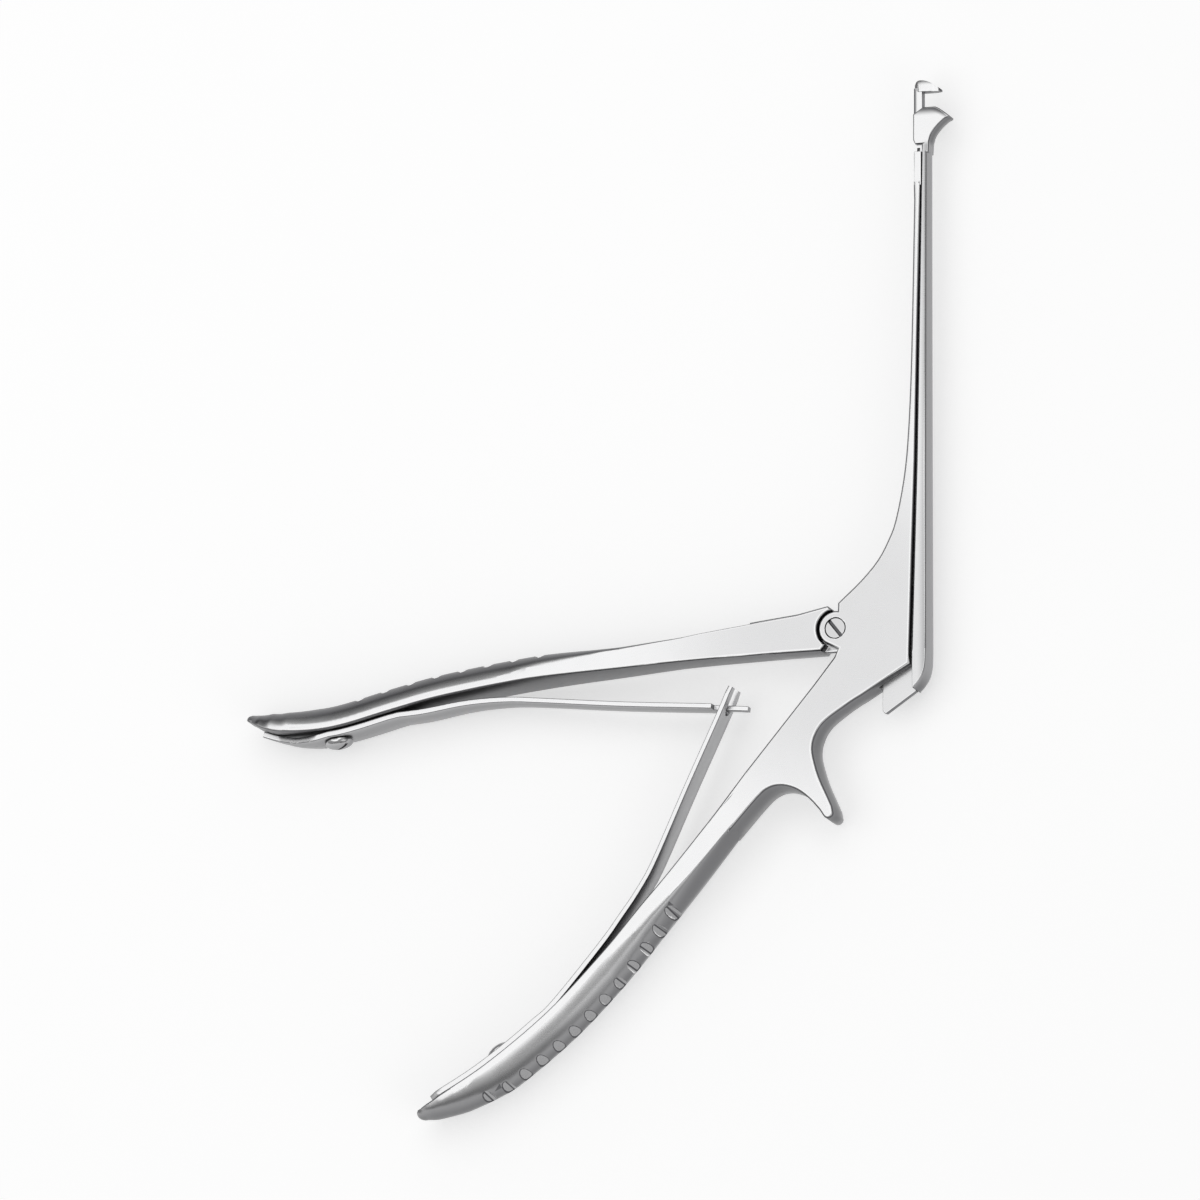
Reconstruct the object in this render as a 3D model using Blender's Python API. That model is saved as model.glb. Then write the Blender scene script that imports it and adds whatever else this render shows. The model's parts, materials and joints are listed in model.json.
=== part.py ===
# Forward-cutting sinus punch, lying flat on its side.
# X runs towards the shaft, Y along the shaft to its tip, Z up from the table.
# Everything is modelled about the pivot screw's axis with the middle plane at z = 0,
# and the empty that carries all pieces then lifts and centres the instrument.

import math

import bmesh
import bpy
import numpy as np

mm = 0.001

# Thickness of the pieces, across the middle plane
body_thickness = 6.8 * mm
shaft_thickness = 4.4 * mm
slide_foot_thickness = 6.0 * mm
waist_thickness = 9.8 * mm
grip_thickness = 12.8 * mm
spur_tip_thickness = 8.4 * mm
blade_thickness = 1.6 * mm
tang_thickness = 1.5 * mm
blade_clearance = 0.2 * mm
edge_chamfer = 0.45 * mm

# Where the frame's thickness changes: up the shaft, down the handle and out along the spur
taper_start = 15.0 * mm
handle_way = (-0.623, -0.782)
flare_start = 13.0 * mm
flare_length = 25.0 * mm
spur_way = (0.782, -0.623)
spur_taper_start = 17.0 * mm
spur_taper_length = 11.5 * mm

# Shaft, rail and jaws
jaw_height = 122.8 * mm
jaw_opening = 3.75 * mm
jaw_closing_gap = 0.05 * mm
slide_bottom = -9.3 * mm
rail_face_top = 19.9 * mm
rail_face_knee = 18.75 * mm
rail_face_low = 17.45 * mm
rail_knee_height = 38.0 * mm
rail_width = 1.65 * mm
rail_end_height = 101.2 * mm
guide_block_length = 7.7 * mm
guide_lip = 0.5 * mm
guide_pocket_depth = 0.7 * mm
lug_width = 2.8 * mm
lug_length = 2.4 * mm
lug_thickness = 0.45 * mm
slide_gap = 0.3 * mm
tongue_side_gap = 0.85 * mm
slide_gap_low = 0.55 * mm
slide_back = 21.7 * mm
slide_round_top = 1.4 * mm
slide_round_low = 0.75 * mm
neck_thickness = 2.4 * mm
neck_width = 1.85 * mm
neck_offset = 0.3 * mm
neck_clearance = 0.15 * mm
head_length = 8.4 * mm
head_reach = 4.6 * mm
head_thickness = 4.3 * mm
cup_depth = 1.1 * mm
foot_height = 2.7 * mm
foot_reach = 4.5 * mm
foot_thickness = 2.8 * mm

# Pivot and drive
ear_radius = 4.0 * mm
shoulder_gap = 0.3 * mm
screw_shank_radius = 1.6 * mm
screw_head_radius = 2.35 * mm
screw_head_height = 1.3 * mm
screw_clearance = 0.12 * mm
screw_slot_width = 0.8 * mm
screw_slot_depth = 0.7 * mm
tang_radius = 3.6 * mm
drive_radius = 11.6 * mm
lobe_radius = 1.7 * mm
lobe_clearance = 0.15 * mm
tongue_width = 7.0 * mm
tongue_drop = 19.9 * mm
tongue_top = 10.0 * mm
tongue_slope = 4.0 * mm
slide_travel = jaw_opening - jaw_closing_gap
half_swing = math.asin(slide_travel / 2 / drive_radius)

# Handles and leaf springs
front_grip_depth = 6.8 * mm
rear_grip_depth = 6.2 * mm
groove_radius = 1.6 * mm
groove_depth = 0.72 * mm
groove_tilt = 7.5
front_groove_count = 13
front_groove_first = 15.8 * mm
front_groove_pitch = 4.95 * mm
rear_groove_count = 8
rear_groove_first = 24.8 * mm
rear_groove_pitch = 6.17 * mm
leaf_thickness = 1.3 * mm
leaf_tip_thickness = 1.1 * mm
leaf_seat_gap = 0.3 * mm
leaf_rim = 0.15 * mm
front_leaf_root_width = 9.6 * mm
rear_leaf_root_width = 9.4 * mm
front_leaf_tip_width = 7.0 * mm
rear_leaf_tip_width = 6.0 * mm
hook_width = 2.0 * mm
hook_clearance = 0.3 * mm
hook_slot_depth = 4.9 * mm
hook_hole_radius = 1.5 * mm
leaf_screw_radius = 3.2 * mm
leaf_screw_dome = 1.8 * mm
leaf_screw_slot_width = 0.7 * mm
leaf_screw_slot_depth = 0.6 * mm
leaf_screw_seat_gap = 0.25 * mm
leaf_screw_shank_radius = 1.2 * mm
leaf_screw_depth = 3.0 * mm
leaf_screw_clearance = 0.3 * mm
front_screw_place = 0.842
rear_screw_place = 0.848

# Edge lines of the two handles, on the side that faces the other handle
front_inner_line = [(-0.3, -6.65), (-17.3, -27.8), (-36.2, -51.2), (-46.3, -62.9), (-54.6, -72.2),
                    (-67.1, -84.5), (-81.8, -95.6), (-93.7, -102.45), (-98.0, -104.2)]
rear_inner_line = [(-3.4, -5.0), (-20.0, -5.1), (-35.7, -5.4), (-50.2, -6.2), (-71.9, -7.5),
                   (-91.7, -10.0), (-103.5, -12.4), (-114.6, -15.0), (-122.0, -15.9), (-130.0, -15.6),
                   (-134.5, -14.4), (-138.2, -12.3)]
rear_outer_corner = (-1.82, 5.24)
grip_nose = 1.6 * mm

# Half the grip's thickness on its way to the rounded end, as shares of the full thickness
grip_end_halves = (0.5, 0.5, 0.47, 0.39, 0.26)

# Middle lines of the leaf springs where they are free, from the seat to the hooked tip
front_leaf_free = [(-55.1, -69.25), (-50.7, -63.3), (-46.45, -57.25), (-42.75, -50.9), (-35.25, -34.5),
                   (-27.45, -17.9), (-24.75, -11.7)]
rear_leaf_tail = [(-135.6, -14.75), (-131.7, -16.15), (-127.2, -17.2), (-122.6, -17.3)]
rear_leaf_free = [(-97.0, -12.85), (-87.0, -11.45), (-77.5, -11.2), (-69.0, -11.95), (-50.6, -14.0),
                  (-28.4, -15.95), (-21.3, -16.65)]

# The frame's outer edge: up the shaft's back, round the spur and in at the waist
rail_back_line = [(18.25, rail_end_height / mm - 3.5), (17.9, 74.6), (17.5, 56.1), (16.85, 42.3), (15.9, 33.1),
                  (14.1, 24.0), (12.4, 19.5), (9.9, 15.0), (6.1, 10.7), (1.3, 6.4)]
spur_back_line = [(-24.8, -45.7), (-18.0, -38.3), (-15.2, -36.2), (-12.6, -35.7), (-10.0, -36.3), (-7.8, -37.5),
                  (-5.5, -39.5), (-3.5, -41.8)]
spur_tip_centre = (-1.45, -42.6)
spur_tip_radius = 1.3 * mm
waist_line = [(-0.5, -41.1), (-1.5, -38.8), (-3.5, -34.2), (-4.85, -29.6), (-5.1, -27.1), (-4.6, -24.8),
              (-3.3, -22.4), (-1.1, -20.4), (3.6, -17.35), (6.0, -16.05)]


def smooth(points, steps):
    """Catmull-Rom curve through the points, with the given number of steps in each span."""
    p = np.asarray(points, dtype=float)
    ends = np.vstack([2 * p[0] - p[1], p, 2 * p[-1] - p[-2]])
    t = np.linspace(0.0, 1.0, steps, endpoint=False)[:, None]
    spans = []
    for i in range(len(p) - 1):
        a, b, c, d = ends[i:i + 4]
        spans.append(0.5 * (2 * b + (c - a) * t + (2 * a - 5 * b + 4 * c - d) * t ** 2
                            + (3 * b - a - 3 * c + d) * t ** 3))
    return np.vstack(spans + [p[-1:]])


def in_mm(points):
    return np.asarray(points, dtype=float) * mm


def arc(centre, radius, start, stop, steps):
    """Points of a circular arc; the angles are in degrees."""
    angles = np.radians(np.linspace(start, stop, steps + 1))
    return np.column_stack([centre[0] + radius * np.cos(angles), centre[1] + radius * np.sin(angles)])


def lengths_along(line):
    return np.concatenate([[0.0], np.cumsum(np.linalg.norm(np.diff(line, axis=0), axis=1))])


def normals_of(line):
    """Unit normals on the left-hand side of an open line."""
    along = np.gradient(line, axis=0)
    along /= np.linalg.norm(along, axis=1)[:, None]
    return np.column_stack([-along[:, 1], along[:, 0]])


def inset(outline, distance):
    """The closed outline, drawn inwards by the distance; it runs counter-clockwise."""
    p = np.asarray(outline)
    before = p - np.roll(p, 1, axis=0)
    after = np.roll(p, -1, axis=0) - p
    before /= np.linalg.norm(before, axis=1)[:, None]
    after /= np.linalg.norm(after, axis=1)[:, None]
    bisector = np.column_stack([-(before + after)[:, 1], (before + after)[:, 0]])
    bisector /= np.linalg.norm(bisector, axis=1)[:, None]
    square = np.sum(bisector * np.column_stack([-after[:, 1], after[:, 0]]), axis=1)
    return p + bisector * (distance / np.maximum(square, 0.45))[:, None]


def material(name, colour, roughness):
    made = bpy.data.materials.new(name)
    made.use_nodes = True
    shader = made.node_tree.nodes["Principled BSDF"]
    shader.inputs["Base Color"].default_value = (*colour, 1.0)
    shader.inputs["Metallic"].default_value = 1.0
    shader.inputs["Roughness"].default_value = roughness
    return made


def to_object(name, bm, finish=None):
    """Turn a bmesh into an object with outward faces and smooth round stretches."""
    bmesh.ops.remove_doubles(bm, verts=bm.verts[:], dist=0.002 * mm)
    bmesh.ops.recalc_face_normals(bm, faces=bm.faces[:])
    mesh = bpy.data.meshes.new(name)
    bm.to_mesh(mesh)
    bm.free()
    mesh.shade_smooth()
    mesh.set_sharp_from_angle(angle=math.radians(30))
    made = bpy.data.objects.new(name, mesh)
    bpy.context.scene.collection.objects.link(made)
    if finish:
        mesh.materials.append(finish)
    return made


def half_thickness(x, y):
    """Half the frame's thickness: full in the body, thinner up the shaft, wider down the handle."""
    up = np.clip((y - taper_start) / (jaw_height - taper_start), 0.0, 1.0)
    down = np.clip((x * handle_way[0] + y * handle_way[1] - flare_start) / flare_length, 0.0, 1.0)
    out = np.clip((spur_way[0] * x + spur_way[1] * y - spur_taper_start) / spur_taper_length, 0.0, 1.0)
    shaft = body_thickness + (shaft_thickness - body_thickness) * up
    shaft += (waist_thickness - body_thickness) * down
    return (shaft + (spur_tip_thickness - waist_thickness) * out * down) / 2


def plate(name, outline, thickness_at, chamfer, cuts=(), finish=None):
    """A flat piece with chamfered rims; the cuts are lines where its thickness changes slope."""
    rim = inset(outline, chamfer)
    count = len(outline)
    bm = bmesh.new()
    rings = []
    for level, ring in ((-1.0, rim), (-0.5, outline), (0.5, outline), (1.0, rim)):
        rings.append([bm.verts.new((x, y, level)) for x, y in ring])
    for low, high in zip(rings, rings[1:]):
        for i in range(count):
            j = (i + 1) % count
            bm.faces.new((low[i], low[j], high[j], high[i]))
    bm.faces.new(rings[-1])
    bm.faces.new(list(reversed(rings[0])))
    for point, normal in cuts:
        bmesh.ops.bisect_plane(bm, geom=bm.verts[:] + bm.edges[:] + bm.faces[:], dist=1e-7,
                               plane_co=(*point, 0.0), plane_no=(*normal, 0.0))
    for vert in bm.verts:
        top = thickness_at(vert.co.x, vert.co.y) - (1.0 - abs(vert.co.z)) * 2 * chamfer
        vert.co.z = math.copysign(top, vert.co.z)
    bmesh.ops.triangulate(bm, faces=[f for f in bm.faces if len(f.verts) > 4])
    return to_object(name, bm, finish)


def skin(name, inner, outer, halves, flats, chamfer, steps=7, finish=None):
    """A bar between two edge lines: flat on the inner side, rounded on the outer side.

    Across each section the cheek stays flat for the given share of the depth and
    then falls to the middle plane along a quarter of an ellipse.
    """
    bm = bmesh.new()
    rings = []
    turn = np.linspace(0.0, math.pi / 2, steps + 1)
    for start, stop, half, flat in zip(inner, outer, halves, flats):
        depth = np.linalg.norm(stop - start)
        way = (stop - start) / depth
        rim = min(chamfer, 0.3 * half, 0.3 * depth)
        level = max(flat * depth, rim * 1.02)
        out = [0.0, 0.3 * rim, rim] + list(level + (depth - level) * np.sin(turn))
        up = [half - rim, half - 0.3 * rim, half] + list(half * np.cos(turn))
        across = out + out[-2::-1]
        high = up + [-value for value in up[-2::-1]]
        spots = start[None, :] + np.outer(across, way)
        rings.append([bm.verts.new((x, y, z)) for (x, y), z in zip(spots, high)])
    count = len(rings[0])
    for low, high in zip(rings, rings[1:]):
        for i in range(count):
            j = (i + 1) % count
            bm.faces.new((low[i], high[i], high[j], low[j]))
    bm.faces.new(rings[0])
    bm.faces.new(list(reversed(rings[-1])))
    bmesh.ops.triangulate(bm, faces=bm.faces[:])
    return to_object(name, bm, finish)


def block(name, low, high, finish=None):
    bm = bmesh.new()
    bmesh.ops.create_cube(bm, size=1.0)
    for vert in bm.verts:
        for axis in range(3):
            vert.co[axis] = high[axis] if vert.co[axis] > 0 else low[axis]
    return to_object(name, bm, finish)


def turned(name, centre, profile, steps=32, finish=None):
    """A closed turned piece about a vertical axis; the profile is (radius, height) from top to bottom."""
    bm = bmesh.new()
    rings = []
    for radius, height in profile:
        if radius == 0:
            rings.append([bm.verts.new((centre[0], centre[1], height))])
            continue
        ring = arc(centre, radius, 0, 360, steps)[:-1]
        rings.append([bm.verts.new((x, y, height)) for x, y in ring])
    for low, high in zip(rings, rings[1:]):
        for i in range(steps):
            j = (i + 1) % steps
            corners = [low[i % len(low)], low[j % len(low)], high[j % len(high)], high[i % len(high)]]
            bm.faces.new(list(dict.fromkeys(corners)))
    return to_object(name, bm, finish)


def combine(target, tool, operation):
    """Apply a Boolean of the tool to the target and remove the tool."""
    step = target.modifiers.new(operation.title(), "BOOLEAN")
    step.operation = operation
    step.solver = "EXACT"
    step.object = tool
    bpy.context.view_layer.update()
    graph = bpy.context.evaluated_depsgraph_get()
    mesh = bpy.data.meshes.new_from_object(target.evaluated_get(graph))
    target.modifiers.remove(step)
    old = target.data
    target.data = mesh
    mesh.name = old.name
    bpy.data.meshes.remove(old)
    bpy.data.objects.remove(tool)
    mesh.shade_smooth()
    mesh.set_sharp_from_angle(angle=math.radians(30))


def rail_face(height):
    """The rail's face towards the slide, as x at a height along the shaft."""
    return np.interp(height, [slide_bottom, rail_knee_height, rail_end_height + guide_block_length],
                     [rail_face_low, rail_face_knee, rail_face_top])


def grooves(name, line, side, first, pitch, count):
    """Cross grooves on the round back of a grip, at equal steps from its end.

    Each is cut by a cylinder that leans a little towards the upper cheek.
    """
    where = lengths_along(line)
    out = side * normals_of(line)
    lean = math.radians(groove_tilt)
    tools = None
    for i in range(count):
        at = where[-1] - first - i * pitch
        spot = np.array([np.interp(at, where, line[:, axis]) for axis in range(2)])
        away = np.array([np.interp(at, where, out[:, axis]) for axis in range(2)])
        middle = spot + away * (groove_radius - groove_depth)
        reach = grip_thickness
        tool = turned(name, (0, 0), [(0, reach), (groove_radius, reach), (groove_radius, -reach), (0, -reach)], 16)
        for vert in tool.data.vertices:
            x, y, z = vert.co
            along = x * math.cos(lean) - z * math.sin(lean)
            vert.co = (middle[0] + along * away[0] - y * away[1], middle[1] + along * away[1] + y * away[0],
                       x * math.sin(lean) + z * math.cos(lean))
        if tools is None:
            tools = tool
        else:
            combine(tools, tool, "UNION")
    return tools


for old in list(bpy.data.objects):
    bpy.data.objects.remove(old)

steel = material("satin_steel", (0.78, 0.78, 0.79), 0.28)
screw_steel = material("polished_steel", (0.80, 0.80, 0.81), 0.2)

slot_half = blade_thickness / 2 + blade_clearance
block_top = rail_end_height + guide_block_length
head_top = jaw_height - jaw_opening
drive_rest = (drive_radius * math.cos(half_swing), -drive_radius * math.sin(half_swing))


def handle_edges(inner_points, steps, depths, side):
    """Inner and outer edge line of a handle; depths are (share of the length, depth) pairs."""
    inner = smooth(in_mm(inner_points), steps)
    share = lengths_along(inner)
    share /= share[-1]
    depth = np.interp(share, [d[0] for d in depths], [d[1] for d in depths])
    return inner, inner + side * normals_of(inner) * depth[:, None], share


def with_nose(inner, outer, halves, flats):
    """Extra sections that round off a grip's end, along a quarter of an ellipse."""
    middle = (inner[-1] + outer[-1]) / 2
    half = (outer[-1] - inner[-1]) / 2
    ahead = middle - (inner[-2] + outer[-2]) / 2
    ahead /= np.linalg.norm(ahead)
    turn = np.radians([24, 45, 63, 78])[:, None]
    spots = middle + ahead * grip_nose * np.sin(turn)
    shrink = np.cos(turn[:, 0])
    return (np.vstack([inner, spots - half * np.cos(turn)]), np.vstack([outer, spots + half * np.cos(turn)]),
            np.concatenate([halves, halves[-1] * shrink]), np.concatenate([flats, [flats[-1]] * 4]))


def front_edges():
    depths = [(0.0, 6.3 * mm), (0.3, 5.4 * mm), (0.42, 5.7 * mm), (0.52, 6.3 * mm), (0.62, front_grip_depth),
              (0.86, 6.7 * mm), (0.94, 4.7 * mm), (1.0, 2.0 * mm)]
    return handle_edges(front_inner_line, 8, depths, 1.0)


def rear_edges():
    depths = [(0.0, 9.4 * mm), (0.04, 8.8 * mm), (0.1, 7.95 * mm), (0.24, 5.9 * mm), (0.35, 5.5 * mm),
              (0.47, rear_grip_depth), (0.8, rear_grip_depth), (0.88, 6.0 * mm), (0.935, 5.4 * mm),
              (0.97, 4.45 * mm), (1.0, 2.2 * mm)]
    return handle_edges(rear_inner_line, 6, depths, -1.0)


def make_frame():
    """Body, rail, spur and ear as one plate, with the grip, guide block, neck and foot joined on."""
    right = [(rail_face_low, slide_bottom), (rail_face_knee, rail_knee_height),
             (rail_face(rail_end_height + mm), rail_end_height + mm)]
    outline = np.vstack([
        right,
        [(rail_face(rail_end_height) - rail_width, rail_end_height + mm)],
        smooth(in_mm(rail_back_line), 3),
        in_mm([(0.6, 5.75)]),
        arc((0, 0), ear_radius, 82, 232, 20),
        in_mm([(0.6, -4.75), (-0.3, -6.65), (-32.3, -46.4)]),
        smooth(in_mm(spur_back_line), 4),
        arc(in_mm(spur_tip_centre), spur_tip_radius, 210, 350, 8),
        smooth(in_mm(waist_line), 3),
    ])
    cuts = [((0, taper_start), (0, 1))]
    for share in (0.0, 1.0):
        reach = flare_start + share * flare_length
        cuts.append(((handle_way[0] * reach, handle_way[1] * reach), handle_way))
    cuts.append(((spur_way[0] * spur_taper_start, spur_way[1] * spur_taper_start), spur_way))
    frame = plate("frame", outline, half_thickness, edge_chamfer, cuts, steel)

    inner, outer, share = front_edges()
    keep = share > 0.3
    inner, outer, share = inner[keep], outer[keep], share[keep]
    halves = np.interp(share, [share[0], 0.5, 0.93, 0.96, 0.985, 1.0],
                       [waist_thickness / 2 - 0.01 * mm] + [grip_thickness * part for part in grip_end_halves])
    flats = np.interp(share, [0.3, 0.42, 0.62, 1.0], [0.93, 0.75, 0.05, 0.0])
    grip = skin("grip", *with_nose(inner, outer, halves, flats), edge_chamfer)
    combine(frame, grip, "UNION")
    combine(frame, grooves("grooves", outer, 1.0, front_groove_first, front_groove_pitch, front_groove_count),
            "DIFFERENCE")

    half = shaft_thickness / 2
    face = rail_face(block_top)
    combine(frame, block("guide", (face - rail_width, rail_end_height, -half), (face, block_top, half)), "UNION")
    neck = neck_thickness / 2
    back = face - rail_width - neck_offset
    combine(frame, block("neck", (back, block_top - 0.3 * mm, -neck),
                         (back + neck_width, jaw_height + foot_height / 3, neck)), "UNION")
    combine(frame, make_foot(back), "UNION")

    tongue_left = rail_face_low - tongue_width
    slot_left = tongue_left - tongue_side_gap
    slot_top = tongue_top + slide_travel + slide_gap
    slot = np.vstack([
        in_mm([(-9.0, -9.0), (3.2, -9.0)]),
        [(slot_left, -4.6 * mm), (slot_left, -24.0 * mm), (24.0 * mm, -24.0 * mm), (24.0 * mm, slot_top),
         (tongue_left + 0.6 * tongue_slope, slot_top), (slot_left, slot_top - tongue_slope)],
        in_mm([(2.0, 7.5), (-9.0, 7.5)])])
    combine(frame, plate("slot", slot, lambda x, y: slot_half, 0.01 * mm), "DIFFERENCE")
    groove_depth_in_rail = rail_width - 0.55 * mm
    for low, high in ((11.0 * mm, rail_knee_height), (rail_knee_height, block_top + mm)):
        line = [(rail_face(low) - groove_depth_in_rail, low), (rail_face(low) + mm, low),
                (rail_face(high) + mm, high), (rail_face(high) - groove_depth_in_rail, high)]
        combine(frame, plate("groove", np.array(line), lambda x, y: slot_half, 0.005 * mm), "DIFFERENCE")
    pocket = lug_width / 2 + blade_clearance
    combine(frame, block("pocket", (face - guide_lip - guide_pocket_depth, rail_end_height, -pocket),
                         (face - guide_lip, block_top + mm, pocket)), "DIFFERENCE")
    hole = screw_shank_radius + screw_clearance
    seat = screw_head_radius + screw_clearance
    top = body_thickness / 2
    combine(frame, turned("bore", (0, 0), [(0, top + mm), (seat, top + mm), (seat, top - screw_head_height - 0.1 * mm),
                                           (hole, top - screw_head_height - 0.1 * mm), (hole, -top - mm),
                                           (0, -top - mm)]), "DIFFERENCE")
    spot, away = screw_place(*front_edges(), front_screw_place, -1.0)
    combine(frame, screw_hole(spot, away), "DIFFERENCE")
    return frame


def make_foot(back):
    """The hook at the tip: flat underneath, domed on top and rounded in plan like a spade."""
    tip = back + neck_width + foot_reach
    top = jaw_height + foot_height
    side = np.vstack([
        [(back, jaw_height), (tip, jaw_height), (tip, jaw_height + 0.3 * mm)],
        smooth([(tip - 1.1 * mm, jaw_height + 1.2 * mm), (tip - 2.8 * mm, top - 0.55 * mm),
                (back + 1.9 * mm, top - 0.05 * mm), (back + 0.7 * mm, top - 0.2 * mm), (back, top - 1.0 * mm)], 3)])
    foot = plate("foot", side, lambda x, y: foot_thickness / 2, 0.2 * mm)
    plan = turned("plan", (0, 0), [(0, 5 * mm), (foot_thickness / 2, 5 * mm), (foot_thickness / 2, -5 * mm),
                                   (0, -5 * mm)], 32)
    forward = (foot_reach - 0.2 * mm) / (foot_thickness / 2)
    for vert in plan.data.vertices:
        x, y, z = vert.co
        stretch = forward if x > 0 else 1.6
        vert.co = (back + neck_width + 0.2 * mm + x * stretch, jaw_height + z, y)
    flip = bmesh.new()
    flip.from_mesh(plan.data)
    bmesh.ops.recalc_face_normals(flip, faces=flip.faces[:])
    flip.to_mesh(plan.data)
    flip.free()
    combine(foot, plan, "INTERSECT")
    return foot


def make_slide():
    """Bar, cutting head with collar cheeks, guide lug and driven tongue, in one piece."""
    corner_height = -6.0 * mm
    corner = in_mm([(0.0, -6.0), (-0.15, -9.5), (-0.75, -12.0), (-2.0, -14.0), (-3.1, -15.1)])
    heights = np.array([head_top - head_length, 60 * mm, rail_knee_height, 10 * mm, corner_height])
    left = [(rail_face(h) + np.interp(h, [corner_height, block_top], [slide_gap_low, slide_gap]), h) for h in heights]
    right = [(slide_back, h) for h in heights]
    turn = smooth(corner + np.array([slide_back, 0.0]), 4)[1:]
    lower = np.linspace(corner_height, -14.8 * mm, len(turn) + 1)[1:]
    left += [(rail_face_low + slide_gap_low, h) for h in lower]
    inner = np.array(left)
    outer = np.vstack([right, turn])
    share = (inner[:, 1] - corner_height) / (inner[0, 1] - corner_height)
    halves = np.interp(share, [0, 1], [slide_foot_thickness / 2, shaft_thickness / 2])
    depth = np.linalg.norm(outer - inner, axis=1)
    round_depth = np.interp(share, [0, 1], [slide_round_low, slide_round_top])
    flats = np.clip(1 - round_depth / depth, 0.2, 1)
    slide = skin("slide", inner, outer, halves, flats, 0.15 * mm, finish=steel)

    combine(slide, make_head(), "UNION")
    blade = blade_thickness / 2
    edge = rail_face_low + slide_gap_low + 0.3 * mm
    tongue_left = rail_face_low - tongue_width
    notch = lobe_radius + lobe_clearance
    mouth = drive_rest[1]
    notch_end = drive_radius + lobe_clearance + 0.1 * mm
    tongue = np.vstack([
        [(tongue_left, -tongue_drop + 0.8 * mm), (tongue_left + 0.25 * mm, -tongue_drop + 0.2 * mm),
         (tongue_left + 0.8 * mm, -tongue_drop), (edge, -15.2 * mm), (edge, tongue_top),
         (tongue_left + 3 * mm, tongue_top - 1.0 * mm), (tongue_left, tongue_top - tongue_slope),
         (tongue_left, mouth + notch)],
        arc((notch_end, mouth), notch, 90, -90, 10),
        [(tongue_left, mouth - notch)]])
    combine(slide, plate("tongue", tongue, lambda x, y: blade, 0.1 * mm), "UNION")

    rib_depth = rail_width - 0.55 * mm - blade_clearance
    lug_low = rail_end_height + 0.3 * mm
    for low, high in ((9.0 * mm, rail_knee_height), (rail_knee_height, lug_low + lug_length)):
        line = [(rail_face(low) - rib_depth, low), (rail_face(low) + mm, low), (rail_face(high) + mm, high),
                (rail_face(high) - rib_depth, high)]
        combine(slide, plate("rib", np.array(line), lambda x, y: blade, 0.05 * mm), "UNION")
    face = rail_face(block_top)
    deep = face - guide_lip - 0.12 * mm
    combine(slide, block("lug", (deep - lug_thickness, lug_low, -lug_width / 2),
                         (deep, lug_low + lug_length, lug_width / 2)), "UNION")
    return slide


def make_head():
    """Flared cutting head: two cheeks straddle the neck, and a shallow cup is sunk in its top."""
    back = rail_face(block_top) - rail_width - neck_offset
    reach = slide_back + head_reach
    low = head_top - head_length
    bar = rail_face(low) + slide_gap + 0.3 * mm
    side = np.vstack([
        [(back + 0.5 * mm, low), (bar, low), (bar, low - 2 * mm), (slide_back - 0.1 * mm, low - 2 * mm)],
        smooth([(slide_back + 0.02 * mm, low + 0.5 * mm), (slide_back + 0.6 * mm, low + 2.2 * mm),
                (slide_back + 1.9 * mm, head_top - 4.5 * mm), (reach - 1.1 * mm, head_top - 3.1 * mm),
                (reach - 0.1 * mm, head_top - 2.6 * mm)], 4),
        smooth([(reach, head_top - 2.25 * mm), (reach - 1.3 * mm, head_top - 1.1 * mm),
                (reach - 2.5 * mm, head_top - 0.3 * mm), (reach - 3.2 * mm, head_top)], 3),
        [(back + 2.3 * mm, head_top), (back, head_top - 1.5 * mm), (back, low + 1.0 * mm)]])
    half = head_thickness / 2
    head = plate("head", side, lambda x, y: half, 0.3 * mm)
    neck_face = back + neck_width
    combine(head, block("straddle", (back - mm, low - 5 * mm, -neck_thickness / 2 - neck_clearance),
                        (neck_face + neck_clearance, head_top + mm, neck_thickness / 2 + neck_clearance)), "DIFFERENCE")
    cup = turned("cup", (0, 0), [(0, mm), (1.15 * mm, mm), (1.15 * mm, -cup_depth * 0.6), (0.7 * mm, -cup_depth),
                                 (0, -cup_depth)], 24)
    for vert in cup.data.vertices:
        x, y, z = vert.co
        vert.co = (neck_face + 2.6 * mm + x * 1.45, head_top + z, y)
    flip = bmesh.new()
    flip.from_mesh(cup.data)
    bmesh.ops.recalc_face_normals(flip, faces=flip.faces[:])
    flip.to_mesh(cup.data)
    flip.free()
    combine(head, cup, "DIFFERENCE")
    return head


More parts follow.
